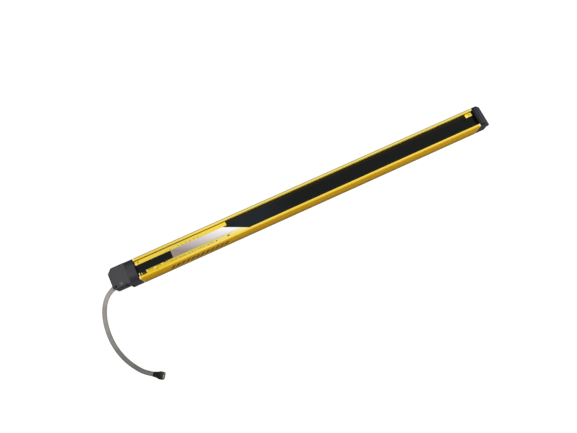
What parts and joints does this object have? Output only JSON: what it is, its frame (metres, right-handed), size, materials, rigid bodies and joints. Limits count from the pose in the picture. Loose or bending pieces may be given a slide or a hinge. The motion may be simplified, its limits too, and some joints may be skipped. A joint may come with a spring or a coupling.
{
  "type": "safety light curtain",
  "caption": "Slim yellow light curtain bar with a recessed dark window, end caps, mounting feet, rear T-slot and a short cable with a round plug.",
  "frame": {"origin": "under the middle of the bar, on the surface that its back lies on", "axes": "+X along the bar from the cable end to the far end, +Z out of the window, +Y to the left of the window as seen from the cable end"},
  "size_m": [0.6074, 0.16, 0.03],
  "materials": {
    "profile_yellow": "satin paint on extruded aluminium",
    "window_black": "gloss dark acrylic",
    "seal_rubber": "matt",
    "label_yellow": "printed film",
    "label_silver": "printed film that fades from grey to white",
    "lamp_amber": "tinted lenses",
    "board_green": "solder mask",
    "diode_clear": "moulded clear",
    "baffle_black": "matt moulded",
    "lens_clear": "polished tinted acrylic",
    "chip_black": "moulded",
    "header_white": "moulded",
    "leads_grey": "wrapped leads",
    "cap_black": "fine spark texture",
    "block_grey": "fine spark texture",
    "foot_black": "black coated die casting",
    "screw_steel": "zinc plated",
    "screw_dark": "blackened",
    "cable_grey": "matt sheath",
    "plug_black": "matt overmould",
    "plug_metal": "nickel plated",
    "insert_black": "moulded",
    "pin_gold": "gold plated"
  },
  "bodies": {
    "root": {"housing_profile": "profile_yellow", "front_window": "window_black", "window_seal_left": "seal_rubber", "window_seal_right": "seal_rubber", "upper_label_strip": "label_yellow", "lower_label_strip": "label_yellow", "silver_label": "label_silver", "far_end_label": "label_yellow", "status_lamps": "lamp_amber", "main_board": "board_green", "emitter_diodes": "diode_clear", "beam_baffle": "baffle_black", "lens_strip": "lens_clear", "driver_chips": "chip_black", "board_header": "header_white", "inner_leads": "leads_grey", "cable_end_gasket": "seal_rubber", "far_end_gasket": "seal_rubber", "cable_end_cap": "cap_black", "far_end_cap": "cap_black", "cable_end_foot": "foot_black", "far_end_foot": "foot_black", "cable_end_screws": "screw_steel", "far_end_screws": "screw_steel", "cable_block_cover": "block_grey", "cable_block_base": "block_grey", "cable_block_screw": "screw_dark", "cable_grommet": "seal_rubber", "cable": "cable_grey", "plug_boot": "plug_black", "plug_body": "plug_black", "plug_shell": "plug_metal", "plug_insert": "insert_black", "plug_pins": "pin_gold"}
  },
  "joints": []
}
